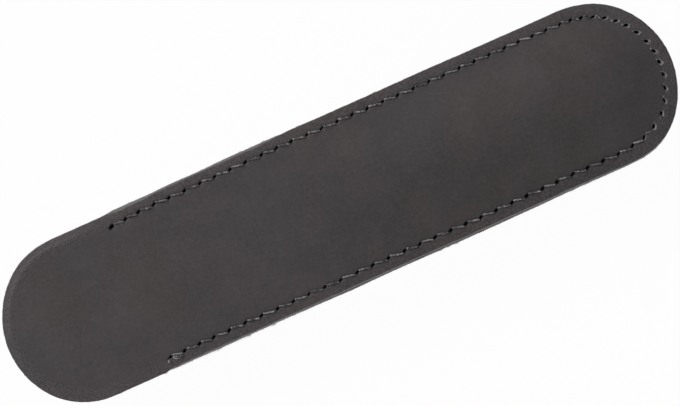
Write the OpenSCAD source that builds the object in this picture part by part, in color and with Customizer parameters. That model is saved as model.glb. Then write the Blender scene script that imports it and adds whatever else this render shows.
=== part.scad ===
// Single pen sleeve: two raw-edged leather panels held by one U-shaped lockstitched seam.
// The back panel faces up and runs on as a bare tongue past the mouth of the pocket.
// The front panel lies under it and swells into the pocket that holds the pen.
// Origin: on the ground under the middle of the sleeve. The tongue points along -X.

/* [Sleeve] */
// Length from the tip of the tongue to the closed end
sleeve_length = 165; // [130:1:220]
// Width of the back panel, which is also twice the radius of its round ends
back_width = 38.4; // [36:0.2:60]
// Thickness of the back panel's leather
back_leather = 1.8; // [1.2:0.1:2.6]
// Thickness of the front panel's leather
front_leather = 1.8; // [1.2:0.1:2.6]
// How far the front panel's cut edge stands out past the back panel's
front_overhang = 0.2; // [0:0.05:0.6]

/* [Tongue] */
// Length of the bare tongue, from its tip to the mouth of the pocket
tongue_length = 31.7; // [26:0.1:60]
// Distance of the fold line in front of the mouth, about which the tongue bends
fold_setback = 5; // [1.4:0.1:8]
// Angle through which the tongue bends up, away from the pocket
fold_up = 60; // [10:1:75]
// Angle through which the tongue bends down, towards the pocket
fold_down = 45; // [10:1:60]
// Gap round the knuckle in the fold line
fold_gap = 0.08; // [0.04:0.01:0.2]

/* [Pocket] */
// Clear height of the pocket under the back panel
pocket_height = 9; // [6:0.5:14]
// Width of the flat seam margin, from the back panel's edge to where the pocket starts to swell
seam_margin = 4.9; // [4.6:0.1:6]
// Width of the flat strip along the belly, on which the sleeve rests
belly_flat = 6; // [3:0.5:8]
// Outside radius where the front panel turns down out of the seam margin
shoulder_radius = 2.2; // [1:0.1:3]
// Inside radius where the pocket's wall turns into the belly
belly_radius = 6; // [3:0.5:7]

/* [Seam] */
// Distance of the stitch line from the back panel's edge
seam_inset = 2.95; // [2.4:0.05:3.4]
// Distance of the first and last holes from the mouth
first_hole = 1.2; // [1:0.1:3]
// Stitch length along the side that is sewn first
first_pitch = 3.76; // [2.6:0.02:6]
// Stitch length round the closed end
end_pitch = 2.8; // [2.4:0.1:5]
// Stitch length along the side that is sewn last
last_pitch = 3.88; // [2.6:0.02:6]
// Angle at which each needle slit leans across the stitch line
slit_lean = 28; // [0:1:40]

/* [Thread] */
// Diameter of both threads where they lie on the leather
thread_diameter = 0.5; // [0.3:0.05:0.6]
// Share of its diameter that a thread keeps where it is squeezed in a slit
thread_squeeze = 0.6; // [0.5:0.05:0.7]
// Gap kept between a thread and whatever it lies against
thread_gap = 0.03; // [0.02:0.01:0.05]

/* [Hidden] */
$fn = 96;
leather_black = [0.27, 0.26, 0.26];
thread_black = [0.13, 0.13, 0.14];
thread_sides = 6;
overcut = 1;

// Heights of the seam plane, where the two panels meet, and of the back panel's top face
seam_z = front_leather + pocket_height;
top_z = seam_z + back_leather;

// Outlines: both panels share the centre of the closed end's arc
back_r = back_width / 2;
front_r = back_r + front_overhang;
end_x = sleeve_length / 2 - front_r;
tip_x = back_r - sleeve_length / 2;
mouth_x = tongue_length - sleeve_length / 2;

// Fold line of the tongue, halfway through the back panel's leather. Its knuckle turns in a
// groove, and each face of the tongue is mitred back so far that it clears the groove's lip.
fold_x = mouth_x - fold_setback;
fold_z = seam_z + back_leather / 2;
knuckle_r = back_leather / 2;
groove_r = knuckle_r + fold_gap;
lip_angle = acos(knuckle_r / groove_r);
fold_spare = 3;
steepest_mitre = 88;
mitre_up = min(steepest_mitre, 90 + lip_angle - fold_up - fold_spare);
mitre_down = min(steepest_mitre, 90 + lip_angle - fold_down - fold_spare);

// Section of the pocket, from the seam margin over the shoulder and down the wall to the belly.
// turn_spare keeps the two rounds apart, so that a straight wall is left between them.
turn_spare = 0.5;
swell_r = back_r - seam_margin;
belly_half = belly_flat / 2;
swell_width = swell_r - belly_half;
shoulder_top_r = shoulder_radius + front_leather;
turn_limit = (swell_width * swell_width + pocket_height * pocket_height) / (2 * pocket_height);
belly_turn_r = min(belly_radius, turn_limit - shoulder_top_r - turn_spare);
turn_sum = shoulder_top_r + belly_turn_r;
wall_length = sqrt(swell_width * swell_width + pocket_height * pocket_height
    - 2 * pocket_height * turn_sum);
wall_angle = atan2(pocket_height - turn_sum, swell_width) + atan2(turn_sum, wall_length);
belly_centre = [belly_half, front_leather + belly_turn_r];
shoulder_centre = [swell_r, seam_z - shoulder_top_r];
arc_steps = 14;

// Stitch line: along one side, round the closed end and back along the other side
seam_r = back_r - seam_inset;
first_x = mouth_x + first_hole;
side_run = end_x - first_x;
end_run = PI * seam_r;
first_count = round(side_run / first_pitch);
end_count = round(end_run / end_pitch);
last_count = round(side_run / last_pitch);

// Distances of the holes along the stitch line
hole_runs = concat(
    [for (i = [0 : first_count - 1]) i * side_run / first_count],
    [for (i = [0 : end_count - 1]) side_run + i * end_run / end_count],
    [for (i = [0 : last_count]) side_run + end_run + i * side_run / last_count]
);
hole_count = len(hole_runs);

// Inside a slit the needle thread's loop passes under the bobbin thread's loop.
// The legs of the two loops stand at the four corners of a small rectangle, whose half
// length and half width are shares of the least distance between two legs.
leg_along_share = 0.92;
leg_across_share = 0.63;
thread_r = thread_diameter / 2;
leg_r = thread_r * thread_squeeze;
leg_apart = 2 * leg_r + thread_gap;
leg_along = leg_apart * leg_along_share;
leg_across = leg_apart * leg_across_share;
loop_depth = leg_apart / 2;

// Slit: a lens with blunt shoulders, just wide enough for the four legs.
// Its shoulders and tips lie so many leg radii beyond the legs.
shoulder_radii = 0.75;
tip_radii = 2.6;
slit_half_width = leg_across + leg_r + thread_gap;
slit_shoulder = leg_along + leg_r * shoulder_radii;
slit_tip = leg_along + leg_r * tip_radii;

// Places where a thread leaves the leather's face and where it drops into a slit
lift_radii = 0.8;
surface_reach = slit_tip + thread_r / 2;
mouth_reach = leg_along + leg_r / 2;
mouth_lift = leg_r * lift_radii;
surface_lift = thread_r + thread_gap;

// A place on the stitch line: [x, y, heading in degrees]
function station(run) =
    run < side_run ? [first_x + run, seam_r, 0]
    : run < side_run + end_run ? end_station(90 - 180 * (run - side_run) / end_run)
    : [end_x - (run - side_run - end_run), -seam_r, -180];

function end_station(a) = [end_x + seam_r * cos(a), seam_r * sin(a), a - 90];

// A point at a hole, given along and across its slit
function at_slit(place, along, across, z) =
    let (a = place[2] + slit_lean)
    [
        place[0] + along * cos(a) - across * sin(a),
        place[1] + along * sin(a) + across * cos(a),
        z
    ];

// The six points of a thread at one hole, each with its radius.
// face is 1 for the thread on the back panel and -1 for the one on the front panel.
function loop_points(place, face, face_z) =
    let (
        surface = face_z + face * surface_lift,
        mouth = face_z + face * mouth_lift,
        bottom = seam_z - face * loop_depth
    )
    [
        [at_slit(place, -surface_reach, 0, surface), thread_r],
        [at_slit(place, -mouth_reach, 0, mouth), leg_r],
        [at_slit(place, -leg_along, -face * leg_across, bottom), leg_r],
        [at_slit(place, leg_along, face * leg_across, bottom), leg_r],
        [at_slit(place, mouth_reach, 0, mouth), leg_r],
        [at_slit(place, surface_reach, 0, surface), thread_r]
    ];

// The whole thread. It starts and ends inside the outermost holes, so the first hole has
// no points on the way in, and the last hole has none on the way out.
function thread_stops(face, face_z) = [
    for (i = [0 : hole_count - 1])
        let (
            place = station(hole_runs[i]),
            loop = loop_points(place, face, face_z),
            from = i == 0 ? 2 : 0,
            to = i == hole_count - 1 ? 3 : 5
        )
        for (k = [from : to])
            [loop[k][0], loop[k][1], [-sin(place[2]), cos(place[2]), 0]]
];

function unit(v) = v / norm(v);

function tangent(stops, i) =
    let (last = len(stops) - 1)
    i == 0 ? unit(stops[1][0] - stops[0][0])
    : i == last ? unit(stops[last][0] - stops[last - 1][0])
    : unit(unit(stops[i][0] - stops[i - 1][0]) + unit(stops[i + 1][0] - stops[i][0]));

function ring(stop, along) =
    let (
        side = unit(stop[2] - (stop[2] * along) * along),
        up = cross(along, side)
    )
    [
        for (k = [0 : thread_sides - 1])
            let (a = 360 * k / thread_sides)
            stop[0] + stop[1] * (cos(a) * side + sin(a) * up)
    ];

// A tube swept through the stops of a thread
module thread_tube(stops) {
    n = thread_sides;
    last = len(stops) - 1;
    points = [for (i = [0 : last]) each ring(stops[i], tangent(stops, i))];
    walls = [
        for (i = [0 : last - 1])
            for (k = [0 : n - 1])
                let (a = i * n + k, b = i * n + (k + 1) % n)
                each [[a, a + n, b], [b, a + n, b + n]]
    ];
    start_cap = [[for (k = [0 : n - 1]) k]];
    end_cap = [[for (k = [n - 1 : -1 : 0]) last * n + k]];
    polyhedron(points, concat(start_cap, walls, end_cap));
}

// Outline of the back panel with its tongue: straight sides and a half circle at each end
module back_outline() {
    translate([tip_x, 0]) circle(back_r);
    translate([end_x, 0]) circle(back_r);
    translate([tip_x, -back_r]) square([end_x - tip_x, back_width]);
}

// All needle slits, as flat shapes on the stitch line
module slits() {
    for (run = hole_runs) {
        place = station(run);
        translate([place[0], place[1]]) rotate(place[2] + slit_lean)
            polygon([
                [slit_tip, 0],
                [slit_shoulder, slit_half_width],
                [-slit_shoulder, slit_half_width],
                [-slit_tip, 0],
                [-slit_shoulder, -slit_half_width],
                [slit_shoulder, -slit_half_width]
            ]);
    }
}

// Points along an arc, from one angle to another
function arc(centre, r, from, to) = [
    for (i = [0 : arc_steps])
        let (a = from + (to - from) * i / arc_steps)
        centre + r * [cos(a), sin(a)]
];

// Half of the front panel's section, from the middle of the belly to the cut edge:
// the lower face going out, then the upper face coming back
function front_half() = concat(
    [[0, 0]],
    arc(belly_centre, belly_turn_r + front_leather, -90, wall_angle - 90),
    arc(shoulder_centre, shoulder_radius, 90 + wall_angle, 90),
    [[front_r, seam_z - front_leather], [front_r, seam_z]],
    arc(shoulder_centre, shoulder_top_r, 90, 90 + wall_angle),
    arc(belly_centre, belly_turn_r, wall_angle - 90, -90),
    [[0, front_leather]]
);

// Section of the tongue, seen from the side, with its fold axis at the origin
module tongue_section() {
    circle(knuckle_r);
    polygon([
        [0, 0],
        [-knuckle_r / tan(mitre_up), knuckle_r],
        [-tongue_length, knuckle_r],
        [-tongue_length, -knuckle_r],
        [-knuckle_r / tan(mitre_down), -knuckle_r]
    ]);
}

module back_panel() {
    color(leather_black)
        difference() {
            translate([0, 0, seam_z]) linear_extrude(back_leather) difference() {
                intersection() {
                    back_outline();
                    translate([fold_x, -back_r]) square([sleeve_length, back_width]);
                }
                slits();
            }
            translate([fold_x, 0, fold_z]) rotate([90, 0, 0])
                cylinder(r = groove_r, h = back_width + overcut, center = true);
        }
}

module tongue() {
    color(leather_black)
        intersection() {
            translate([0, 0, seam_z - overcut])
                linear_extrude(back_leather + 2 * overcut) back_outline();
            translate([fold_x, 0, fold_z]) rotate([90, 0, 0])
                linear_extrude(back_width + overcut, center = true) tongue_section();
        }
}

module front_panel() {
    color(leather_black)
        difference() {
            union() {
                translate([mouth_x, 0, 0]) rotate([90, 0, 90])
                    linear_extrude(end_x - mouth_x) {
                        polygon(front_half());
                        mirror([1, 0]) polygon(front_half());
                    }
                translate([end_x, 0, 0]) rotate(-90)
                    rotate_extrude(angle = 180) polygon(front_half());
            }
            translate([0, 0, seam_z - front_leather - overcut])
                linear_extrude(front_leather + 2 * overcut) slits();
        }
}

// Thread on the back panel's face, whose loops dip to the seam plane in every slit
module needle_thread() {
    color(thread_black) thread_tube(thread_stops(1, top_z));
}

// Thread on the front panel's face, whose loops hang in those of the needle thread
module bobbin_thread() {
    color(thread_black) thread_tube(thread_stops(-1, seam_z - front_leather));
}

back_panel();
tongue();
front_panel();
needle_thread();
bobbin_thread();
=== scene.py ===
"""Looks of a leather pen sleeve: two raw-edged panels, a lockstitched seam and a plain stage."""
import math
import random
from collections import namedtuple

import bmesh
import bpy
from bpy.props import FloatProperty, FloatVectorProperty, PointerProperty
from mathutils import Euler, Matrix, Vector, noise
from mathutils.kdtree import KDTree


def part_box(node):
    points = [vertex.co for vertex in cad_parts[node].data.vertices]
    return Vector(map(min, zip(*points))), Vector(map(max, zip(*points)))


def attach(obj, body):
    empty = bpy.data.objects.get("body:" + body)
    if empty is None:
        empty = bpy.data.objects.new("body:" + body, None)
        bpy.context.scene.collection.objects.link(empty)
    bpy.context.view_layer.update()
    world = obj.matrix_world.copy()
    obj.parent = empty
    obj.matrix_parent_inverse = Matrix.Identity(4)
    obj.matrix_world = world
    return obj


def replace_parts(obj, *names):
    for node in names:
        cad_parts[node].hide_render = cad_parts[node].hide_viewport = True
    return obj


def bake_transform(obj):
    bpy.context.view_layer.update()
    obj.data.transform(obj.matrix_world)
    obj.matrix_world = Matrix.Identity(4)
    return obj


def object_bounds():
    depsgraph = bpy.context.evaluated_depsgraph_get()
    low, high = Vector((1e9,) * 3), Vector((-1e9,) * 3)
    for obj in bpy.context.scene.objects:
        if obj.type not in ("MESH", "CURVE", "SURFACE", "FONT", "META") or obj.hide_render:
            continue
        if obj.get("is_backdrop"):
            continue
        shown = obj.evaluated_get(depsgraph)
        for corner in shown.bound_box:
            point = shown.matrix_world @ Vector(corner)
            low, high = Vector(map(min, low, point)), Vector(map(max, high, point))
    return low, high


bl_info = {
    "name": "Pen Sleeve",
    "version": (1, 0, 0),
    "blender": (4, 5, 0),
    "location": "3D View > Sidebar > Pen Sleeve",
    "description": "Models a stitched leather pen sleeve with raw edges and twisted thread",
    "category": "Object",
}

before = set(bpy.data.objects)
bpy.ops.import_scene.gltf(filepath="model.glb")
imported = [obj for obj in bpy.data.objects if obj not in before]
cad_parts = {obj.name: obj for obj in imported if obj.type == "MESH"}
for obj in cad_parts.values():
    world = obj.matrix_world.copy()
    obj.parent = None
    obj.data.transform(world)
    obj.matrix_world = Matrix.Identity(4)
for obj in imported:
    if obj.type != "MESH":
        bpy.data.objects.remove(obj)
cad_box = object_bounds()

# Places that the frame gives, in metres
BACK_LOW, BACK_HIGH = (Vector(corner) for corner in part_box("back_panel"))
FRONT_LOW, FRONT_HIGH = (Vector(corner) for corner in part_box("front_panel"))
TONGUE_LOW = Vector(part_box("tongue")[0])
TOP_Z = BACK_HIGH.z
SEAM_Z = BACK_LOW.z
LEATHER = TOP_Z - SEAM_Z
BACK_R = BACK_HIGH.y
FRONT_R = FRONT_HIGH.y
END_X = FRONT_HIGH.x - FRONT_R
TIP_X = TONGUE_LOW.x + BACK_R
MOUTH_X = FRONT_LOW.x

# Distances from the middle line, in metres: the front panel lies flat past MARGIN_FROM, a
# panel's plan may stray past STRAY_FROM, and the seam runs between FINE_FROM and FINE_TO
MARGIN_FROM = 0.0125
STRAY_FROM = 0.0145
FINE_FROM = 0.0146
FINE_TO = 0.0181

# Spacing of a panel's mesh rows at the seam, elsewhere and on a cut edge, of its columns, and of
# a thread's rings
FINE_ROW = 0.00025
COARSE_ROW = 0.0013
EDGE_ROW = 0.0003
COLUMN = 0.00038
THREAD_STEP = 0.00015

# Width of the band along a cut edge that leans, frays and wears
EDGE_BAND = 0.001

# Where the back panel's swell starts along the sleeve, and the way on which it grows full
CROWN_FROM = -0.022
CROWN_RUN = 0.06

# How deep a slit's worn bowl and the slit itself go
BOWL_DEPTH = 0.00026
SLIT_DEPTH = 0.00095

# A stitch at a slit: how far outside its rim it turns in, how deep it lies there and inside, and
# how far aside its loop swings
RIM_OUT = 0.00004
RIM_DIP = 0.00006
DIVE = 0.00052
SWING = 0.00008

# How much deeper the seam's first stitch lies, and the middle of one that is pulled in tight
FIRST_SUNK = 0.00014
TIGHT_SUNK = 0.00055

# Heights of a backtack's thread at its ends, where it shows and where it dips in
TACK_END, TACK_OVER, TACK_UNDER = -0.0007, 0.0002, -0.0006

# The cut tail's way out of the last hole: along its slit, across it and up
TAIL = (
    (0.0003, 0, -0.0009), (0.0006, 0.0001, -0.0004), (0.00075, 0.0002, -0.0001),
    (0.0009, 0.00033, 0.0001), (0.00102, 0.00045, 0.0003), (0.0011, 0.00055, 0.00045),
)

# The least share of a face's normal that points up or down on a smooth or rough side
FACING = 0.42

# Where the camera looks at the back panel's face
AIM = (0.000088, -0.000319)

# Bands of a panel's surface, in the order of its material slots
GRAIN, CUT, FLESH, PIERCED = range(4)

# Way in which the slits' mouths are drawn aside round the closed end
DRAWN = Vector((0.6, -0.8, 0))

# A needle hole: its place, the seam's heading there, the direction out of the seam, and the
# size of its slit
Station = namedtuple("Station", "place heading out length width")

# A place on a thread's way, the direction across it, and the share of its full thickness
Stop = namedtuple("Stop", "place side squeeze")

# A panel's hand-cut plan: where it starts, its half width, its +Y and -Y edges, how its round
# ends stray from half circles, and what sets its small waves. A lobe is a height in metres, a
# direction and a width in degrees, from -90 on the -Y side to 90 on the +Y side.
Plan = namedtuple("Plan", "start_x radius edges end_lobes tip_lobes seed")

# How far an edge lies out of its true line, in millimetres: a level at the tongue's end, steps
# (height, start, length) and swells (height, middle, width) along the sleeve
Edge = namedtuple("Edge", "level steps swells")

BACK_PLAN = Plan(
    start_x=TIP_X,
    radius=BACK_R,
    edges=(
        Edge(-0.09, (
            (-0.29, -50.5, 3), (0.29, -40.5, 3), (0.07, -36, 8), (0.38, -13, 9),
            (-0.09, -4, 12), (-0.2, 28, 28)), ()),
        Edge(0.17, ((-0.47, -52.5, 3.5), (0.22, 58, 5)), ((0.09, 28, 8),)),
    ),
    end_lobes=((0.00086, -50, 27), (0.00022, -5, 30), (0.00016, 55, 18)),
    tip_lobes=((0.00051, -50, 33), (0.00016, 62, 15), (-0.00011, 28, 14)),
    seed=3,
)
FRONT_PLAN = Plan(
    start_x=MOUTH_X,
    radius=FRONT_R,
    edges=(
        Edge(-0.21, ((0.25, -50.8, 3), (0.1, -39, 4), (0.14, -27, 6), (-0.38, -8, 6)), ()),
        Edge(-0.17, ((0.2, -50.8, 2), (0.1, -24, 10), (-0.06, 42, 6)),
             ((0.14, -5, 4.5), (0.12, 28, 11))),
    ),
    end_lobes=((0.00085, -58, 21),),
    tip_lobes=(),
    seed=8,
)

# The seam, sewn by hand: a hole's number, its way along the seam and how far it strays out of
# the line, both in millimetres, and how wide its slit is open. Holes between lie evenly.
GUIDED = (
    (0, -0.06, -0.19, 1.6), (1, 3.44, 0.1, 1.2), (2, 6.9, 0.4, 1.25), (6, 22.27, 0.61, 0.95),
    (10, 37.74, 0.75, 1.05), (15, 56.63, 0.67, 1), (20, 75.64, 0.41, 1), (26, 98.42, 0.36, 1),
    (30, 111.98, 0.13, 1), (33, 119.9, 0.1, 1), (36, 127.72, 0.2, 1), (40, 139, 0.39, 1),
    (44, 150.62, 0.61, 0.9), (47, 160.52, -0.14, 1.15), (50, 171.91, -0.17, 1.3),
    (56, 194.87, 0.15, 1.2), (62, 217.77, 0.03, 1.1), (68, 241.68, 0.15, 1),
    (74, 265.58, 0.2, 1.1), (77, 276.4, 0.33, 1.1),
)

# Where tufts stand out of the front panel's edge on the -Y side
TUFTS = (0.0207, 0.0187, 0.0167, -0.0252, -0.0312)


def number(name, description, default, **settings):
    """A property that holds a number."""
    return FloatProperty(name=name, description=description, default=default, **settings)


def metres(name, description, default, low, high):
    """A property that holds a length in metres."""
    return number(name, description, default, min=low, max=high, unit="LENGTH", precision=5)


def colour(name, description, default):
    """A property that holds a colour."""
    return FloatVectorProperty(
        name=name, description=description, default=default, size=3, min=0, max=1,
        subtype="COLOR")


class PanelForm(bpy.types.PropertyGroup):
    """Form of the two leather panels."""

    crown: metres("Crown", "Height of the back panel's swell over the pocket", 0.0019, 0, 0.004)
    crown_reach: metres(
        "Crown reach", "Distance from the middle line to the swell's foot", 0.0158, 0.013, 0.017)
    seam_margin: metres(
        "Seam margin", "Flat width outside the pocket's swell", 0.0049, 0.004, 0.006)
    belly_flat: metres("Belly", "Width of the strip on which the sleeve rests", 0.006, 0.003, 0.008)
    shoulder_radius: metres(
        "Shoulder radius", "Outside radius where the pocket leaves the margin",
        0.0022, 0.001, 0.003)
    belly_radius: metres(
        "Belly radius", "Inside radius where the pocket meets its belly", 0.006, 0.003, 0.007)
    edge_round: metres(
        "Edge round", "Radius at which a cut edge has worn round", 0.00024, 0.0001, 0.0006)
    edge_slant: metres(
        "Edge slant", "How far a cut edge's foot leans out on the -Y side", 0.00034, 0, 0.0008)
    edge_droop: metres("Edge droop", "How much deeper the tongue's +Y edge falls", 0.0003, 0, 0.001)
    edge_fall: metres("Edge fall", "Depth to which the back panel's edge falls", 0.0001, 0, 0.0004)


class SeamForm(bpy.types.PropertyGroup):
    """Form of the stitch line, its slits and its threads."""

    inset: metres("Inset", "Distance of the seam from the back edge", 0.00295, 0.002, 0.004)
    first_hole: metres(
        "First hole", "Distance of the end holes from the mouth", 0.0012, 0.0008, 0.003)
    lean: number(
        "Slit lean", "Angle at which each slit leans across the stitch line",
        math.radians(28), unit="ROTATION", subtype="ANGLE")
    slit_length: metres("Slit length", "Length of a needle slit", 0.0013, 0.0008, 0.002)
    slit_width: metres("Slit width", "Width of a needle slit", 0.00065, 0.0004, 0.001)
    drag: metres("Drag", "How far a slit's mouth is drawn aside", 0.0002, 0, 0.0005)
    dimple: metres("Dimple", "Depth to which the leather is drawn in at a slit", 0.00016, 0, 0.0006)
    groove: metres("Groove", "Depth to which a thread presses into the leather", 0.00009, 0, 0.0004)
    end_slit_length: metres(
        "End slit length", "Length of a slit round the closed end", 0.0017, 0.0008, 0.002)
    end_slit_width: metres(
        "End slit width", "Width of a slit round the closed end", 0.00096, 0.0004, 0.0014)
    thread: metres("Thread", "Diameter of a thread on the leather", 0.00042, 0.0003, 0.001)
    twist: metres("Twist", "Length in which a thread's plies turn once", 0.0019, 0.0008, 0.004)


class SleeveColours(bpy.types.PropertyGroup):
    """Colours of the leather and the thread."""

    grain: colour("Grain", "Colour of the leather's smooth side", (0.0425, 0.0364, 0.0378))
    flesh: colour("Flesh", "Colour of the leather's rough side", (0.190, 0.184, 0.183))
    cut: colour("Cut edge", "Colour of the raw cut edges", (0.160, 0.154, 0.152))
    thread: colour("Thread", "Colour of the waxed thread", (0.036, 0.035, 0.037))


class StageForm(bpy.types.PropertyGroup):
    """Camera, lamps and floor."""

    view_width: metres(
        "View width", "Width that the camera sees at the back panel's face", 0.155, 0.05, 1)
    view_height: metres(
        "Camera height", "Height of the camera above the back panel's face", 0.62, 0.2, 3)
    turn: number(
        "Turn", "Angle at which the sleeve rises to the right in the view",
        math.radians(24.17), unit="ROTATION", subtype="ANGLE")
    key_power: number("Key lamp", "Watts of the soft lamp at the upper left", 6.6, min=0)
    fill_power: number("Fill lamp", "Watts of the wide lamp overhead", 0.6, min=0)
    edge_power: number("Edge lamp", "Watts of the low lamp at the lower right", 2.7, min=0)
    room_light: number("Room light", "Strength of the light from all round", 0.18, min=0)
    floor_white: number(
        "White floor", "Share of plain white in what the camera sees of the floor",
        0.97, min=0, max=1)


def smooth(t):
    """Runs from 0 to 1 with soft ends, as t does."""
    t = min(max(t, 0.0), 1.0)
    return t * t * (3 - 2 * t)


def bell(distance, width):
    """1 at no distance, falling off over a width."""
    return math.exp(-((distance / width) ** 2))


def wave(place, size, seed):
    """Smooth noise from about -1 to 1, whose lumps are about size across."""
    return noise.noise(place / size + Vector((seed, 1.7 * seed, 0.3 * seed)))


def from_middle(place, start_x):
    """A place's distance from the middle line, and the direction away from it."""
    middle = Vector((min(max(place.x, start_x), END_X), 0, 0))
    out = Vector((place.x, place.y, 0)) - middle
    reach = out.length
    return reach, (out / reach if reach > 1e-9 else Vector((0, 1, 0)))


def along_rim(run, start_x, radius):
    """A place on a rim and the direction out of it. The rim starts on the +Y side at start_x,
    goes round the closed end and back, and then round the tongue."""
    side = END_X - start_x
    half = side + math.pi * radius
    if run >= half:
        place, out = along_rim(run - half, start_x, radius)
        return Vector((start_x + END_X, 0, 0)) - place, -out
    if run < side:
        return Vector((start_x + run, radius, 0)), Vector((0, 1, 0))
    turn = (run - side) / radius
    out = Vector((math.sin(turn), math.cos(turn), 0))
    return Vector((END_X, 0, 0)) + out * radius, out


def edge_stray(edge, x):
    """How far an edge lies out of its true line at x."""
    at = x * 1000
    level = edge.level
    level += sum(high * smooth((at - start) / run) for high, start, run in edge.steps)
    level += sum(high * bell(at - middle, wide) for high, middle, wide in edge.swells)
    return level / 1000


def stray(place, plan):
    """How far a panel's plan strays at a place from straight sides and round ends."""
    reach, out = from_middle(place, plan.start_x)
    rim = smooth((reach - STRAY_FROM) / (BACK_R - STRAY_FROM))
    upper, lower = (edge_stray(edge, place.x) for edge in plan.edges)
    share = (1 + out.y) / 2
    move = share * upper + (1 - share) * lower
    lobes = plan.end_lobes if out.x > 0 else plan.tip_lobes
    turned = smooth(abs(out.x) / 0.25)
    angle = math.degrees(math.atan2(out.y, abs(out.x)))
    move += turned * sum(high * bell(angle - middle, wide) for high, middle, wide in lobes)
    move += 0.00005 * wave(place, 0.009, plan.seed)
    move += 0.00004 * wave(place, 0.0016, plan.seed + 1)
    return out * (rim * move)


def pulled_tight(out):
    """Share to which a stitch is pulled in tight: fully round the closed end."""
    return smooth((out.x - 0.35) / 0.35)


def guided(number):
    """A hole's way along the seam and out of its line, in metres, and its slit's opening."""
    low, high = next(pair for pair in zip(GUIDED, GUIDED[1:]) if number <= pair[1][0])
    share = (number - low[0]) / (high[0] - low[0])
    run, out_by, opening = (a + (b - a) * share for a, b in zip(low[1:], high[1:]))
    return run / 1000, out_by / 1000, opening


def seam_stations(form):
    """The needle holes, from the first one sewn to the last."""
    radius = BACK_R - form.inset
    dice = random.Random(11)
    for number in range(GUIDED[-1][0] + 1):
        run, out_by, opening = guided(number)
        if 0 < number < GUIDED[-1][0]:
            run += dice.uniform(-0.00009, 0.00009)
        place, out = along_rim(run, MOUTH_X + form.first_hole, radius)
        place += out * (out_by + dice.uniform(-0.00005, 0.00005))
        heading = math.atan2(out.y, out.x) - math.pi / 2
        turned = smooth(1.6 * out.x)
        length = form.slit_length + turned * (form.end_slit_length - form.slit_length)
        width = form.slit_width + turned * (form.end_slit_width - form.slit_width)
        width *= opening * dice.uniform(0.88, 1.1)
        length *= math.sqrt(opening)
        yield Station(place, heading, out, length, width)


def slit_point(station, form, along, across=0.0):
    """A place at a hole, given along and across its leaning slit."""
    turn = Matrix.Rotation(station.heading + form.lean, 3, "Z")
    return station.place + turn @ Vector((along, across, 0))


def tree_of(places):
    """A search tree of places."""
    tree = KDTree(len(places))
    for i, place in enumerate(places):
        tree.insert(place, i)
    tree.balance()
    return tree


class Seam:
    """The stitch line, and how deep it draws the leather in at a place."""

    def __init__(self, form):
        self.form = form
        self.stations = list(seam_stations(form))
        self.holes = tree_of([station.place for station in self.stations])
        laid = []
        steps = 14
        for here, there in zip(self.stations, self.stations[1:]):
            a = slit_point(here, form, here.length / 2)
            b = slit_point(there, form, -there.length / 2)
            laid += [a.lerp(b, i / steps) for i in range(steps + 1)]
        self.laid = tree_of(laid)

    def depth(self, place):
        """Depth to which the stitches draw the leather in."""
        flat = Vector((place.x, place.y, 0))
        _, nearest, to_hole = self.holes.find(flat)
        to_thread = self.laid.find(flat)[2]
        tight = 1 + 0.5 * max(self.stations[nearest].out.x, 0)
        return (
            self.form.dimple * tight * bell(to_hole, 0.0006)
            + self.form.groove * bell(to_thread, 0.0003)
        )


def edge_lean(place, out):
    """Share of the edge slant at a place on a rim: full beside the pocket on the -Y side."""
    return max(-out.y, 0) ** 2 * (0.3 + 0.7 * smooth((place.x - MOUTH_X) / 0.004))


def ragged(place, seed):
    """How far a cut edge's fibres stand out at a place."""
    return 0.00005 * wave(place, 0.0006, seed) + 0.00004 * wave(place, 0.0012, seed + 5)


def edge_move(place, plan, slant, seed):
    """How far a place of a panel lies out of its plain form, as the panel was cut by hand."""
    reach, out = from_middle(place, plan.start_x)
    rim = smooth((reach - plan.radius + EDGE_BAND) / (0.8 * EDGE_BAND))
    move = stray(place, plan) + out * (slant * edge_lean(place, out) * rim)
    if rim > 0:
        move += out * (ragged(place, seed) * rim)
    return move


def margin_rise(place):
    """Height by which both panels lie above their flat place, as real leather waves."""
    flat = Vector((place.x, place.y, 0))
    return 0.00009 * wave(flat, 0.03, 2) + 0.00003 * wave(flat, 0.008, 4)


def face_rise(place, form):
    """Height by which the back panel lies above its flat place."""
    reach, _ = from_middle(place, TIP_X)
    across = max(0.0, 1 - (reach / form.crown_reach) ** 2) ** 1.3
    full = smooth((place.x - CROWN_FROM) / CROWN_RUN)
    return form.crown * full * across + margin_rise(place)


def new_object(name, data):
    """An object for a mesh or other data, in the scene."""
    item = bpy.data.objects.new(name, data)
    bpy.context.scene.collection.objects.link(item)
    return item


def shown_mesh(item):
    """The mesh that an object shows."""
    graph = bpy.context.evaluated_depsgraph_get()
    return bpy.data.meshes.new_from_object(item.evaluated_get(graph), depsgraph=graph)


def mesh_from(bm, name):
    """A mesh from a bmesh, which is freed."""
    mesh = bpy.data.meshes.new(name)
    bm.to_mesh(mesh)
    bm.free()
    return mesh


def section_wire(bm, corners):
    """A wire through corners, each (reach, z) and, where it is round, its radius and segments."""
    verts = [bm.verts.new((0, reach, z)) for reach, z, *_ in corners]
    for a, b in zip(verts, verts[1:]):
        bm.edges.new((a, b))
    for vert, (_, _, *rounding) in zip(verts, corners):
        if not rounding:
            continue
        radius, segments = rounding
        a, b = (edge.other_vert(vert).co - vert.co for edge in vert.link_edges)
        turn = math.pi - a.angle(b)
        bmesh.ops.bevel(
            bm, geom=[vert], offset=radius * math.tan(turn / 2), offset_type="OFFSET",
            segments=segments, profile=0.5, affect="VERTICES", material=-1)


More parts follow.
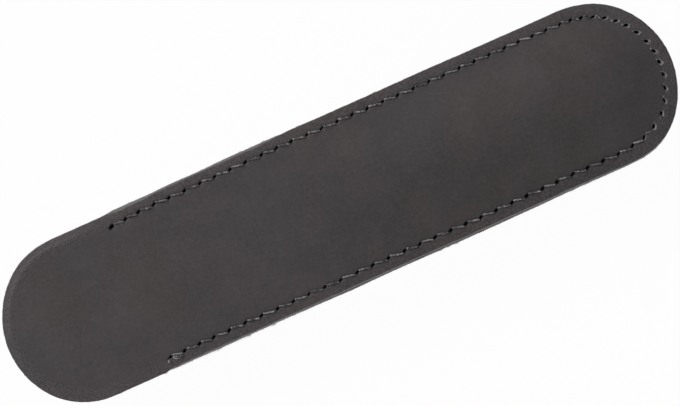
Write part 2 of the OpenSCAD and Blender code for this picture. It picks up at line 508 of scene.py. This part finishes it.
def refine_wire(bm, outer_z):
    """Cuts a wire's edges to the panel's row spacing. The close rows lie at outer_z."""
    for edge in list(bm.edges):
        middle = (edge.verts[0].co + edge.verts[1].co) / 2
        on_seam = FINE_FROM < middle.y < FINE_TO and abs(middle.z - outer_z) < 1e-5
        upright = abs(edge.verts[0].co.y - edge.verts[1].co.y) < 1e-6
        row = FINE_ROW if on_seam else EDGE_ROW if upright else COARSE_ROW
        cuts = round(edge.calc_length() / row) - 1
        if cuts > 0:
            bmesh.ops.subdivide_edges(bm, edges=[edge], cuts=cuts)


def sweep(bm, plan, whole):
    """Sweeps the wire in a bmesh round the sleeve: along the +Y side, round the closed end and
    back, and, if it is to be whole, round the tongue's end too."""
    side = END_X - plan.start_x
    arc_steps = round(math.pi * plan.radius / COLUMN)
    bmesh.ops.translate(bm, verts=bm.verts, vec=(plan.start_x, 0, 0))
    moves = [(0, side, 0, 1), (END_X, 0, -math.pi, arc_steps), (0, -side, 0, 1)]
    if whole:
        moves.append((plan.start_x, 0, -math.pi, arc_steps))
    geom = bm.verts[:] + bm.edges[:]
    for centre_x, step, turn, steps in moves:
        swept = bmesh.ops.spin(
            bm, geom=geom, cent=(centre_x, 0, 0), axis=(0, 0, 1), dvec=(step, 0, 0), angle=turn,
            steps=steps)
        geom = swept["geom_last"]
    straight = [edge for edge in bm.edges if edge.calc_length() > side * 0.9]
    bmesh.ops.subdivide_edges(
        bm, edges=straight, cuts=round(side / COLUMN) - 1, use_grid_fill=True)
    bmesh.ops.remove_doubles(bm, verts=bm.verts, dist=1e-6)


def close_mouth(bm, edge_round):
    """Closes the open section at the mouth with a cut edge that is worn round."""
    rim = [edge for edge in bm.edges if edge.is_boundary]
    bmesh.ops.edgeloop_fill(bm, edges=rim)
    bmesh.ops.recalc_face_normals(bm, faces=bm.faces)
    bmesh.ops.bevel(
        bm, geom=rim, offset=0.25 * edge_round, offset_type="OFFSET", segments=2, profile=0.5,
        affect="EDGES", material=-1)
    cut = max(bm.faces, key=lambda face: len(face.verts))
    bmesh.ops.triangulate(bm, faces=[cut])


def mark_bands(bm, grain_up):
    """Gives each face its band: the smooth side, the rough side or a cut edge."""
    bm.normal_update()
    for face in bm.faces:
        up = face.normal.z if grain_up else -face.normal.z
        face.material_index = GRAIN if up > FACING else FLESH if up < -FACING else CUT
        face.smooth = True


def slit_punch():
    """A punch of unit radius along -Z: a shallow bowl over a slit that narrows as it goes in.
    Its depths are in metres."""
    bm = bmesh.new()
    profile = ((0, 0.0003), (1.5, 0.0003), (1.26, 0), (1.04, -0.00011), (0.8, -BOWL_DEPTH),
               (0.4, -SLIT_DEPTH), (0, -SLIT_DEPTH))
    verts = [bm.verts.new((reach, 0, z)) for reach, z in profile]
    for low, high in zip(verts, verts[1:]):
        bm.edges.new((low, high))
    bmesh.ops.spin(
        bm, geom=bm.verts[:] + bm.edges[:], cent=(0, 0, 0), axis=(0, 0, 1), dvec=(0, 0, 0),
        angle=math.tau, steps=14, use_merge=True)
    bmesh.ops.remove_doubles(bm, verts=bm.verts, dist=1e-6)
    bmesh.ops.recalc_face_normals(bm, faces=bm.faces)
    return mesh_from(bm, "punch")


def punch_slits(piece, seam, face_z, into):
    """Cuts the needle slits into a panel from its face at face_z. into is 1 where they go
    upwards and -1 where they go downwards."""
    bm = bmesh.new()
    punch = slit_punch()
    for station in seam.stations:
        matrix = (
            Matrix.Translation((station.place.x, station.place.y, face_z))
            @ Matrix.Rotation(station.heading + seam.form.lean, 4, "Z")
            @ Matrix.Rotation(math.pi if into > 0 else 0, 4, "X")
            @ Matrix.Diagonal((station.length / 2, station.width / 2, 1, 1))
        )
        start = len(bm.verts)
        bm.from_mesh(punch)
        bm.verts.ensure_lookup_table()
        bmesh.ops.transform(bm, matrix=matrix, verts=bm.verts[start:])
        aside = DRAWN * (seam.form.drag * pulled_tight(station.out))
        for vert in bm.verts[start:]:
            depth = (vert.co.z - face_z) * into
            vert.co += aside * min(max(1 - depth / BOWL_DEPTH, 0), 1)
    bpy.data.meshes.remove(punch)
    for face in bm.faces:
        face.material_index = PIERCED
    punch = new_object("punch", mesh_from(bm, "punch"))
    for material in piece.data.materials:
        punch.data.materials.append(material)
    cut = piece.modifiers.new("Slits", "BOOLEAN")
    cut.operation = "DIFFERENCE"
    cut.object = punch
    cut.solver = "MANIFOLD"
    faces_before = len(piece.data.polygons)
    mesh = shown_mesh(piece)
    piece.modifiers.clear()
    piece.data = mesh
    bpy.data.objects.remove(punch)
    if len(piece.data.polygons) <= faces_before:
        raise RuntimeError(f"the slits of {piece.name} weren't cut")


def finish_panel(bm, name, plan, seam, face_z, into):
    """A panel's piece from its bmesh, with slits, materials and sharp cut edges."""
    piece = new_object(name, mesh_from(bm, name))
    for finish in ("charcoal_grain", "raw_cut_edge", "rough_flesh", "slit_wall"):
        piece.data.materials.append(finish_of(finish))
    punch_slits(piece, seam, face_z, into)
    margin = piece.data.attributes.new("margin", "FLOAT", "POINT")
    reaches = (from_middle(vert.co, plan.start_x)[0] for vert in piece.data.vertices)
    margin.data.foreach_set("value", [plan.radius - reach for reach in reaches])
    piece.data.set_sharp_from_angle(angle=math.radians(50))
    return piece


class Nodes:
    """A node tree, with short ways to add a node and to link it."""

    def __init__(self, tree):
        self.tree = tree
        tree.nodes.clear()

    def put(self, node, socket, value):
        """Sets a socket of a node, or links it to the socket that is the value."""
        if isinstance(value, bpy.types.NodeSocket):
            self.tree.links.new(value, node.inputs[socket])
        else:
            node.inputs[socket].default_value = value

    def add(self, kind, settings=None, sockets=None):
        """A new shader node with settings, whose sockets are set or linked."""
        node = self.tree.nodes.new("ShaderNode" + kind)
        for key, value in (settings or {}).items():
            setattr(node, key, value)
        for key, value in (sockets or {}).items():
            self.put(node, key, value)
        return node

    def join(self, operation, a, b):
        """Two values joined by a sum or the like."""
        return self.add("Math", {"operation": operation}, {0: a, 1: b}).outputs[0]


class Shader(Nodes):
    """A material's node tree round a principled surface."""

    def __init__(self, name):
        self.material = bpy.data.materials.new(name)
        self.material.use_nodes = True
        super().__init__(self.material.node_tree)
        self.surface = self.add("BsdfPrincipled")
        self.add("OutputMaterial", sockets={"Surface": self.surface.outputs["BSDF"]})
        self.place = self.add("TexCoord").outputs["Object"]

    def axis(self, name):
        """A place's measure along an axis."""
        return self.add("SeparateXYZ", sockets={0: self.place}).outputs[name]

    def noise(self, scale, detail=2.0, rough=0.5, place=None):
        """Noise from 0 to 1, with scale lumps a metre."""
        node = self.add("TexNoise", sockets={
            "Vector": place or self.place, "Scale": scale, "Detail": detail, "Roughness": rough})
        return node.outputs["Fac"]

    def spread(self, value, low, high, to_low=0, to_high=1):
        """A value mapped from one range to another, by default from 0 to 1."""
        node = self.add("MapRange", sockets={
            "Value": value, "From Min": low, "From Max": high, "To Min": to_low,
            "To Max": to_high})
        return node.outputs["Result"]

    def blend(self, a, b, share):
        """a and b, with b in a share."""
        node = self.add("Mix", {"data_type": "FLOAT"}, {0: share, 2: a, 3: b})
        return node.outputs[0]

    def tint(self, share, colour, dark, light):
        """A colour that runs from dark to light times its own strength."""
        shades = [tuple(c * k for c in colour) + (1,) for k in (dark, light)]
        return self.blend_colours(*shades, share)

    def blend_colours(self, a, b, share):
        """Colours a and b, with b in a share."""
        node = self.add("Mix", {"data_type": "RGBA"}, {0: share, 6: a, 7: b})
        return node.outputs[2]

    def bump(self, height, distance, over=None):
        """A bump whose full height is a distance in metres, over another one if that is given."""
        node = self.add("Bump", sockets={"Height": height, "Distance": distance})
        if over is not None:
            self.put(node, "Normal", over)
        return node.outputs["Normal"]

    def finish(self, sockets):
        """Sets or links the surface's sockets and gives the material."""
        for key, value in sockets.items():
            self.put(self.surface, key, value)
        return self.material


def grain_leather(shader, colours):
    """Smooth side: matte charcoal with soft clouds, fine pores and a faint pebble, with painted
    shade on the -Y side towards the closed end and painted light and shade across the swell there.
    """
    clouds = shader.noise(100, 3, 0.55)
    blotches = shader.noise(420, 4, 0.6)
    mottle = shader.noise(1100, 3, 0.6)
    specks = shader.noise(2600, 2, 0.6)
    tone = shader.blend(
        shader.blend(clouds, blotches, 0.5), shader.blend(mottle, specks, 0.45), 0.5)
    pebble = shader.add(
        "TexVoronoi", {"feature": "SMOOTH_F1"},
        {"Vector": shader.place, "Scale": 1500, "Smoothness": 0.6}).outputs["Distance"]
    relief = shader.blend(pebble, shader.noise(5200, 2, 0.6), 0.55)
    margin = shader.add("Attribute", {"attribute_name": "margin"}).outputs["Fac"]
    waves = shader.bump(shader.noise(260, 3), 0.00007)
    creases = shader.bump(
        shader.noise(1300, 3, 0.6), shader.spread(margin, 0.0028, 0.0045, 0.00009, 0), over=waves)
    worn = shader.spread(margin, 0.0002, 0.0030, 0.36, 0)
    grit = shader.join(
        "MULTIPLY", shader.spread(shader.noise(3400, 3, 0.7), 0.3, 0.7, -1, 1),
        shader.spread(margin, 0.0024, 0.0034, 1.6, 0))
    worn = shader.join("ADD", worn, grit)
    tone = shader.join("ADD", shader.spread(tone, 0.36, 0.64), worn)
    # Painted shade: the leather is made darker on the -Y side from about the middle of the sleeve
    # to the closed end, standing in for the swell's shading and the lamp's fall-off.
    painted_shade_lower_right = shader.join(
        "MULTIPLY", shader.spread(shader.axis("X"), -0.025, 0.006),
        shader.spread(shader.axis("Y"), 0.008, -0.002, 0, -0.25))
    # Painted light and shade: near the closed end the +Y side is made lighter and the -Y side
    # darker, as the swell lit from +Y.
    painted_crown_light_and_shade = shader.join(
        "MULTIPLY", shader.spread(shader.axis("X"), 0.02, 0.05),
        shader.spread(shader.axis("Y"), -0.014, 0.014, -0.18, 0.19))
    tone = shader.join("ADD", tone, shader.join("ADD", painted_shade_lower_right, painted_crown_light_and_shade))
    tone = shader.spread(tone, -0.5, 1.5)
    warmth = shader.spread(shader.noise(55, 3), 0.35, 0.65)
    warm, cool = (
        shader.tint(tone, [c * k for c, k in zip(colours.grain, hue)], 0.28, 1.72)
        for hue in ((1.03, 0.99, 0.96), (0.97, 1.01, 1.04)))
    return shader.finish({
        "Base Color": shader.blend_colours(cool, warm, warmth),
        "Roughness": shader.spread(blotches, 0.25, 0.75, 0.56, 0.70),
        "Normal": shader.bump(relief, 0.000035, over=creases),
        "Specular IOR Level": 0.32,
    })


def flesh_leather(shader, colours):
    """Rough side: a lighter nap of short fibres."""
    nap = shader.noise(2400, 5, 0.65)
    tone = shader.blend(nap, shader.noise(300, 3), 0.4)
    return shader.finish({
        "Base Color": shader.tint(shader.spread(tone, 0.3, 0.7), colours.flesh, 0.6, 1.35),
        "Roughness": shader.spread(nap, 0.2, 0.8, 0.86, 0.98),
        "Normal": shader.bump(nap, 0.00012),
        "Specular IOR Level": 0.15,
        "Sheen Weight": 0.25,
        "Sheen Roughness": 0.6,
    })


def cut_leather(shader, colours):
    """Cut edge: layered fibres, dark in their gaps."""
    layers = shader.add(
        "Mapping", sockets={"Vector": shader.place, "Scale": (1, 1, 3)}).outputs[0]
    strands = shader.noise(1300, 5, 0.65, layers)
    tone = shader.blend(strands, shader.noise(600, 3, 0.55), 0.4)
    return shader.finish({
        "Base Color": shader.tint(shader.spread(tone, 0.3, 0.7), colours.cut, 0.3, 1.75),
        "Roughness": shader.spread(strands, 0.2, 0.8, 0.82, 0.97),
        "Normal": shader.bump(strands, 0.00015),
        "Specular IOR Level": 0.2,
        "Sheen Weight": 0.2,
        "Sheen Roughness": 0.5,
    })


def slit_leather(shader, colours):
    """Wall of a needle slit: painted shade, near black below its rim and all along the side seams,
    and round the closed end a pale rim of cut fibres made paler still as a painted highlight.
    """
    fibres = shader.noise(3000, 3, 0.6)
    # Painted shade and highlight: the wall is near black deep in and away from the closed end, and
    # at the closed end its rim is lightened as a lit wall.
    rim = shader.join(
        "MULTIPLY", shader.spread(shader.axis("Z"), TOP_Z - 0.0006, TOP_Z - 0.0004),
        shader.spread(shader.axis("X"), END_X + 0.004, END_X + 0.008, 0.06, 1))
    tone = shader.join("MULTIPLY", rim, shader.spread(fibres, 0.3, 0.7, 0.5, 1.4))
    return shader.finish({
        "Base Color": shader.tint(tone, colours.cut, 0.06, 1.3),
        "Roughness": shader.spread(fibres, 0.2, 0.8, 0.8, 0.95),
        "Specular IOR Level": 0.1,
    })


def waxed_thread(shader, colours):
    """Thread: black waxed plies, with painted highlights: its colour turns pale grey in dashes and
    patches as glints on the plies, and near black between them as painted shade.
    """
    filaments = shader.noise(3800, 3, 0.65)
    painted_highlight_dashes = shader.noise(1300)
    wax_and_glint_patches = shader.noise(260)
    # Painted highlights and shade: the black thread's colour runs from near black to pale grey, in
    # dashes along the plies and in patches from stitch to stitch.
    tone = shader.blend(shader.blend(painted_highlight_dashes, wax_and_glint_patches, 0.35), filaments, 0.5)
    return shader.finish({
        "Base Color": shader.tint(
            shader.spread(tone, 0.46, 0.57), colours.thread, 0.15, 8.5),
        "Roughness": shader.spread(wax_and_glint_patches, 0.3, 0.7, 0.34, 0.55),
        "Normal": shader.bump(filaments, 0.00002),
        "Specular IOR Level": 0.45,
    })


MAKERS = {
    "charcoal_grain": grain_leather,
    "raw_cut_edge": cut_leather,
    "rough_flesh": flesh_leather,
    "slit_wall": slit_leather,
    "waxed_thread": waxed_thread,
}


def finish_of(name):
    """The material of a name, which is made when it is first asked for."""
    known = bpy.data.materials.get(name)
    return known or MAKERS[name](Shader(name), bpy.context.scene.sleeve_colours)


def bend_at_fold(piece):
    """Bakes the place of a piece of the back leather into its mesh."""
    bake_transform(piece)


class SLEEVE_OT_back_leather(bpy.types.Operator):
    """Models the back panel with its tongue"""

    bl_idname = "sleeve.back_leather"
    bl_label = "Back leather"

    def execute(self, context):
        form = context.scene.sleeve_panels
        seam = Seam(context.scene.sleeve_seam)
        bm = bmesh.new()
        section_wire(bm, [
            (0, TOP_Z), (FINE_FROM, TOP_Z), (FINE_TO, TOP_Z),
            (BACK_R, TOP_Z, form.edge_round, 5),
            (BACK_R, SEAM_Z, 0.4 * form.edge_round, 3),
            (0, SEAM_Z),
        ])
        refine_wire(bm, TOP_Z)
        sweep(bm, BACK_PLAN, whole=True)
        bmesh.ops.recalc_face_normals(bm, faces=bm.faces)
        mark_bands(bm, grain_up=True)
        for vert in bm.verts:
            reach, out = from_middle(vert.co, TIP_X)
            upper = (vert.co.z - SEAM_Z) / LEATHER
            slant = form.edge_slant * (1 - upper)
            place = vert.co + edge_move(vert.co, BACK_PLAN, slant, 20)
            place.z += face_rise(place, form)
            if reach > FINE_FROM - 0.001:
                tongue = smooth((MOUTH_X - place.x) / 0.008)
                droop = form.edge_droop * tongue * max(0.8 * out.y - 0.6 * out.x, 0)
                worn = smooth((reach - FINE_TO + EDGE_BAND) / (1.8 * EDGE_BAND))
                place.z -= (seam.depth(place) + (form.edge_fall + droop) * worn) * upper
            vert.co = place
        piece = finish_panel(bm, "back_leather", BACK_PLAN, seam, TOP_Z, -1)
        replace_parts(piece, "back_panel", "tongue")
        bend_at_fold(piece)
        return {"FINISHED"}


class SLEEVE_OT_front_leather(bpy.types.Operator):
    """Models the front panel, which swells into the pocket"""

    bl_idname = "sleeve.front_leather"
    bl_label = "Front leather"

    def execute(self, context):
        form = context.scene.sleeve_panels
        seam = Seam(context.scene.sleeve_seam)
        low_z = SEAM_Z - LEATHER
        swell = BACK_R - form.seam_margin
        half = form.belly_flat / 2
        belly_out = form.belly_radius + LEATHER
        shoulder_in = form.shoulder_radius + LEATHER
        rise, run = low_z, swell - half
        turns = shoulder_in + form.belly_radius
        wall = math.sqrt(run * run + rise * rise - 2 * rise * turns)
        slope = math.atan2(rise - turns, run) + math.atan2(turns, wall)
        tangent = math.tan(slope / 2)
        bm = bmesh.new()
        section_wire(bm, [
            (0, 0),
            (half + belly_out * tangent, 0, belly_out, 9),
            (swell - form.shoulder_radius * tangent, low_z, form.shoulder_radius, 7),
            (FINE_FROM, low_z), (FINE_TO, low_z),
            (FRONT_R, low_z, form.edge_round, 5),
            (FRONT_R, SEAM_Z, 0.4 * form.edge_round, 3),
            (swell - shoulder_in * tangent, SEAM_Z, shoulder_in, 7),
            (half + form.belly_radius * tangent, LEATHER, form.belly_radius, 9),
            (0, LEATHER),
        ])
        refine_wire(bm, low_z)
        sweep(bm, FRONT_PLAN, whole=False)
        close_mouth(bm, form.edge_round)
        mark_bands(bm, grain_up=False)
        for vert in bm.verts:
            reach, _ = from_middle(vert.co, MOUTH_X)
            lower = (SEAM_Z - vert.co.z) / LEATHER
            on_margin = smooth((reach - MARGIN_FROM) / 0.0015)
            slant = -0.4 * form.edge_slant * (1 - lower)
            place = vert.co + edge_move(vert.co, FRONT_PLAN, slant, 40)
            if vert.co.x < MOUTH_X + 0.0001:
                place.x += ragged(vert.co, 60)
            place.z += margin_rise(place) * on_margin
            if reach > FINE_FROM - 0.0004:
                place.z += seam.depth(place) * lower
            vert.co = place
        piece = finish_panel(bm, "front_leather", FRONT_PLAN, seam, low_z, 1)
        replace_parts(piece, "front_panel")
        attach(piece, "sleeve")
        return {"FINISHED"}


def stitch_stops(seam, surface, side):
    """The stops of one thread through every hole. surface gives the height of its centre where
    it lies on the leather. side is 1 above the leather and -1 below."""
    form = seam.form
    dice = random.Random(5)
    last = len(seam.stations) - 1

    def over_rim(station, end):
        half = end * station.length / 2
        for along, depth, squeeze in (
                (half + end * RIM_OUT, RIM_DIP, 1.0), (half * 0.84, DIVE, 0.8)):
            place = slit_point(station, form, along)
            place.z = surface(place) - side * depth
            yield Stop(place, station.out, squeeze)

    for i, station in enumerate(seam.stations):
        if i > 0:
            yield from over_rim(station, -1)
        for end in (-1, 1):
            place = slit_point(station, form, end * station.length / 4, end * side * SWING)
            place.z = SEAM_Z
            yield Stop(place, station.out, 0.6)
        if i < last:
            yield from reversed(list(over_rim(station, 1)))
            there = seam.stations[i + 1]
            a = slit_point(station, form, station.length / 2)
            b = slit_point(there, form, -there.length / 2)
            out = (station.out + there.out).normalized()
            tight = pulled_tight(out)
            high = dice.uniform(-0.00004, 0.00005) - (0 if i else FIRST_SUNK)
            bowed = dice.uniform(-0.00008, 0.00008)
            for share in (0.14, 0.34, 0.66, 0.86):
                arch = 4 * share * (1 - share)
                place = a.lerp(b, share) + out * (bowed * arch)
                place.z = surface(place) + side * (
                    high + dice.uniform(-0.00004, 0.00004) - TIGHT_SUNK * tight * arch)
                yield Stop(place, out, (1 - 0.2 * tight) * dice.uniform(0.82, 1.12))


def mixed(a, b, share):
    """A stop between two stops."""
    return Stop(
        a.place.lerp(b.place, share),
        a.side.lerp(b.side, share),
        a.squeeze + (b.squeeze - a.squeeze) * share,
    )


def even_way(stops):
    """A way through the stops, with eased corners and even steps."""
    stops = list(stops)
    for _ in range(3):
        eased = [stops[0]]
        for a, b in zip(stops, stops[1:]):
            eased += [mixed(a, b, 0.25), mixed(a, b, 0.75)]
        stops = eased + [stops[-1]]
    way = [stops[0]]
    spare = 0.0
    for a, b in zip(stops, stops[1:]):
        length = (b.place - a.place).length
        done = THREAD_STEP - spare
        while done < length:
            way.append(mixed(a, b, done / length))
            done += THREAD_STEP
        spare = (spare + length) % THREAD_STEP
    return way


def new_strands(name, radius, resolution):
    """A curve for round strands of a radius."""
    curve = bpy.data.curves.new(name, "CURVE")
    curve.dimensions = "3D"
    curve.bevel_depth = radius
    curve.bevel_resolution = resolution
    curve.use_fill_caps = True
    return curve


def add_strand(curve, places, sizes):
    """Adds a strand through places, at each of which it has a share of the curve's radius."""
    spline = curve.splines.new("POLY")
    spline.points.add(len(places) - 1)
    spline.points.foreach_set("co", [c for place in places for c in (*place, 1.0)])
    spline.points.foreach_set("radius", sizes)


def strands_piece(curve, finish):
    """A piece of a curve's strands, in a material."""
    strands = new_object(curve.name + "_curve", curve)
    mesh = shown_mesh(strands)
    bpy.data.objects.remove(strands)
    mesh.name = curve.name
    mesh.materials.clear()
    mesh.materials.append(finish_of(finish))
    return new_object(mesh.name, mesh)


def lay_plies(curve, way, form, start_turn):
    """Adds a twisted thread's three plies to a curve, along a way."""
    offset = form.thread / 2 - curve.bevel_depth
    for ply in range(3):
        places = []
        for i, stop in enumerate(way):
            ahead = way[min(i + 1, len(way) - 1)].place - way[max(i - 1, 0)].place
            ahead.normalize()
            side = (stop.side - ahead * stop.side.dot(ahead)).normalized()
            up = ahead.cross(side)
            turn = start_turn + math.tau * (i * THREAD_STEP / form.twist + ply / 3)
            around = side * math.cos(turn) + up * math.sin(turn)
            places.append(stop.place + around * (offset * stop.squeeze))
        add_strand(curve, places, [stop.squeeze for stop in way])


def thread_piece(name, ways, form):
    """A piece of twisted thread along the ways that it takes."""
    curve = new_strands(name, form.thread * 0.24, 1)
    for i, way in enumerate(ways):
        lay_plies(curve, way, form, 1.3 * i)
    piece = strands_piece(curve, "waxed_thread")
    piece.data.shade_smooth()
    piece.data.set_sharp_from_angle(angle=math.radians(70))
    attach(piece, "sleeve")
    return piece


def backtack_stops(seam, surface, across, start):
    """The stops of a stitch that runs back beside the last one, at a distance across it, and
    dips into the leather and out again. start is 0 or 1."""
    last, before = seam.stations[-1], seam.stations[-2]
    half = seam.form.slit_length / 2
    a = slit_point(last, seam.form, -half)
    b = slit_point(before, seam.form, half)
    steps = 11
    for i in range(steps + 1):
        inside = 0 < i < steps
        place = a.lerp(b, i / steps) + last.out * (across * inside)
        rise = TACK_END if not inside else TACK_OVER if (i + start) % 2 else TACK_UNDER
        place.z = surface(place) + rise
        yield Stop(place, last.out, 0.8)


def tail_stops(seam, surface):
    """The stops of the cut end that stands out of the last hole."""
    last = seam.stations[-1]
    for along, across, lift in TAIL:
        place = slit_point(last, seam.form, along, across)
        place.z = surface(place) + lift
        yield Stop(place, last.out, 0.9)


class SLEEVE_OT_needle_stitches(bpy.types.Operator):
    """Lays the needle thread on the back panel, with its backtack and a cut tail"""

    bl_idname = "sleeve.needle_stitches"
    bl_label = "Needle stitches"

    def execute(self, context):
        panels = context.scene.sleeve_panels
        form = context.scene.sleeve_seam
        seam = Seam(form)
        lift = form.thread / 2 - form.groove

        def surface(place):
            return TOP_Z + face_rise(place, panels) + lift

        runs = (
            stitch_stops(seam, surface, 1),
            backtack_stops(seam, surface, 0.00012, 0),
            backtack_stops(seam, surface, 0.00056, 1),
            backtack_stops(seam, surface, 0.001, 0),
            tail_stops(seam, surface),
        )
        ways = [even_way(stops) for stops in runs]
        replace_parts(thread_piece("needle_stitches", ways, form), "needle_thread")
        return {"FINISHED"}


class SLEEVE_OT_bobbin_stitches(bpy.types.Operator):
    """Lays the bobbin thread on the front panel's margin"""

    bl_idname = "sleeve.bobbin_stitches"
    bl_label = "Bobbin stitches"

    def execute(self, context):
        form = context.scene.sleeve_seam
        seam = Seam(form)
        lift = form.thread / 2 - form.groove

        def surface(place):
            return SEAM_Z - LEATHER + margin_rise(place) - lift

        way = even_way(stitch_stops(seam, surface, -1))
        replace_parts(thread_piece("bobbin_stitches", [way], form), "bobbin_thread")
        return {"FINISHED"}


def fibre_piece(name, fibres):
    """A piece of fine tapered fibres, each (three places along it, radius)."""
    curve = new_strands(name, 0.00001, 0)
    for places, radius in fibres:
        thick = radius / curve.bevel_depth
        add_strand(curve, places, (thick, thick * 0.8, thick * 0.25))
    piece = strands_piece(curve, "rough_flesh")
    return piece


def rim_fibres(plan, whole, heights, seed, per_mm):
    """Fibres that stand out of a panel's cut edge, with a tuft here and there. They are longest
    on the -Y side next to the mouth."""
    dice = random.Random(seed)
    start_x, radius = plan.start_x, plan.radius
    around = 2 * (END_X - start_x) + math.pi * radius
    length = around + (math.pi * radius if whole else 0)
    tufts = [dice.uniform(0, length) for _ in range(8)]
    if not whole:
        tufts += [around - (x - start_x) for x in TUFTS]
    for i in range(int(length * 1000 * per_mm)):
        run = dice.uniform(0, length)
        reach = 0.00010 + 0.00022 * dice.random() ** 2
        if i % 12 == 0:
            run = tufts[(i // 12) % len(tufts)] + dice.gauss(0, 0.0003)
            reach = dice.uniform(0.0002, 0.0004)
        place, out = along_rim(min(max(run, 0), length - 1e-6), start_x, radius)
        if out.y < 0:
            reach *= 1 + 0.9 * bell(place.x + 0.036, 0.016)
        place += stray(place, plan)
        place.z = dice.uniform(*heights) + margin_rise(place)
        place -= out * 0.00006
        along = Vector((-out.y, out.x, 0))
        lean = out + along * dice.gauss(0, 0.7) + Vector((0, 0, dice.gauss(0, 0.45)))
        curl = along * dice.gauss(0, 0.25) + Vector((0, 0, dice.gauss(0, 0.25)))
        tip = place + (lean.normalized() + curl) * reach
        bend = place + lean.normalized() * (reach * 0.55)
        yield (place, bend, tip), dice.uniform(0.00001, 0.000018)


class SLEEVE_OT_edge_fibres(bpy.types.Operator):
    """Raises loose fibres out of the cut edges"""

    bl_idname = "sleeve.edge_fibres"
    bl_label = "Edge fibres"

    def execute(self, context):
        worn = context.scene.sleeve_panels.edge_round * 0.6
        heights = (SEAM_Z + worn / 2, TOP_Z - worn)
        back = fibre_piece("back_fibres", rim_fibres(BACK_PLAN, True, heights, 21, 11))
        bend_at_fold(back)
        heights = (SEAM_Z - LEATHER + worn, SEAM_Z)
        front = fibre_piece("front_fibres", rim_fibres(FRONT_PLAN, False, heights, 22, 14))
        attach(front, "sleeve")
        return {"FINISHED"}


def white_to_camera(nodes, lit, share):
    """A shader that shows a share of plain white to the camera, in gloss and through glass."""
    path = nodes.add("LightPath").outputs
    seen = path["Is Camera Ray"]
    for name in ("Is Glossy Ray", "Is Transmission Ray"):
        seen = nodes.join("MAXIMUM", seen, path[name])
    white = nodes.add("Emission")
    mix = nodes.add("MixShader", sockets={
        0: nodes.join("MULTIPLY", seen, share), 1: lit.outputs[0], 2: white.outputs[0]})
    return mix.outputs[0]


class SLEEVE_OT_stage(bpy.types.Operator):
    """Sets up the floor, the lamps and the camera"""

    bl_idname = "sleeve.stage"
    bl_label = "Stage"

    def execute(self, context):
        form = context.scene.sleeve_stage
        self.floor(form)
        self.room(context.scene, form)
        self.lamp("key_lamp", (-0.413, 0.551, 0.366), 0.45, form.key_power)
        self.lamp("fill_lamp", (0.05, -0.1, 1.1), 1.0, form.fill_power)
        self.lamp("edge_lamp", (0.20, -0.72, 0.17), 0.4, form.edge_power)
        self.camera(context.scene, form)
        context.scene.view_settings.view_transform = "Standard"
        return {"FINISHED"}

    def floor(self, form):
        """A wide pale floor, on which the sleeve's shadow shows faintly."""
        bm = bmesh.new()
        bmesh.ops.create_grid(bm, x_segments=1, y_segments=1, size=6)
        floor = new_object("floor", mesh_from(bm, "floor"))
        material = bpy.data.materials.new("pale_floor")
        material.use_nodes = True
        nodes = Nodes(material.node_tree)
        plain = nodes.add("BsdfDiffuse", sockets={"Color": (0.8, 0.8, 0.8, 1)})
        nodes.add("OutputMaterial", sockets={
            "Surface": white_to_camera(nodes, plain, form.floor_white)})
        floor.data.materials.append(material)
        floor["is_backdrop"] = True

    def room(self, scene, form):
        """Even light from all round, which looks white."""
        scene.world = bpy.data.worlds.new("studio")
        scene.world.use_nodes = True
        nodes = Nodes(scene.world.node_tree)
        soft = nodes.add("Background", sockets={
            "Color": (1, 1, 1, 1), "Strength": form.room_light})
        nodes.add("OutputWorld", sockets={"Surface": white_to_camera(nodes, soft, 1.0)})

    def lamp(self, name, place, size, power):
        """A square soft lamp that shines at the sleeve."""
        data = bpy.data.lights.new(name, "AREA")
        data.shape = "SQUARE"
        data.size = size
        data.energy = power
        lamp = new_object(name, data)
        lamp.location = place
        lamp.rotation_euler = Vector(place).to_track_quat("Z", "Y").to_euler()

    def camera(self, scene, form):
        """A camera straight above the sleeve, turned so that the closed end points up right."""
        data = bpy.data.cameras.new("camera")
        data.sensor_fit = "HORIZONTAL"
        data.sensor_width = 36
        data.lens = data.sensor_width * form.view_height / form.view_width
        camera = new_object("camera", data)
        camera.location = (*AIM, TOP_Z + form.view_height)
        camera.rotation_euler = Euler((0, 0, -form.turn))
        scene.camera = camera


OPERATORS = (
    SLEEVE_OT_back_leather,
    SLEEVE_OT_front_leather,
    SLEEVE_OT_needle_stitches,
    SLEEVE_OT_bobbin_stitches,
    SLEEVE_OT_edge_fibres,
    SLEEVE_OT_stage,
)


class VIEW3D_PT_pen_sleeve(bpy.types.Panel):
    """Lists the sleeve's pieces and their settings"""

    bl_label = "Pen Sleeve"
    bl_space_type = "VIEW_3D"
    bl_region_type = "UI"
    bl_category = "Pen Sleeve"

    def draw(self, context):
        for operator in OPERATORS:
            self.layout.operator(operator.bl_idname)
        for name, group in GROUPS.items():
            box = self.layout.box()
            for key in group.__annotations__:
                box.prop(getattr(context.scene, name), key)


GROUPS = {
    "sleeve_panels": PanelForm,
    "sleeve_seam": SeamForm,
    "sleeve_colours": SleeveColours,
    "sleeve_stage": StageForm,
}


def register():
    for name, group in GROUPS.items():
        bpy.utils.register_class(group)
        setattr(bpy.types.Scene, name, PointerProperty(type=group))
    for entry in (*OPERATORS, VIEW3D_PT_pen_sleeve):
        bpy.utils.register_class(entry)


def unregister():
    for entry in (VIEW3D_PT_pen_sleeve, *reversed(OPERATORS)):
        bpy.utils.unregister_class(entry)
    for name, group in GROUPS.items():
        delattr(bpy.types.Scene, name)
        bpy.utils.unregister_class(group)


def main():
    register()
    bpy.ops.sleeve.back_leather()
    bpy.ops.sleeve.front_leather()
    bpy.ops.sleeve.needle_stitches()
    bpy.ops.sleeve.bobbin_stitches()
    bpy.ops.sleeve.edge_fibres()
    bpy.ops.sleeve.stage()
    boxes = {"cad": cad_box, "visual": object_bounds()}
    {key: [list(corner) for corner in box] for key, box in boxes.items()}


if __name__ == "__main__":
    main()
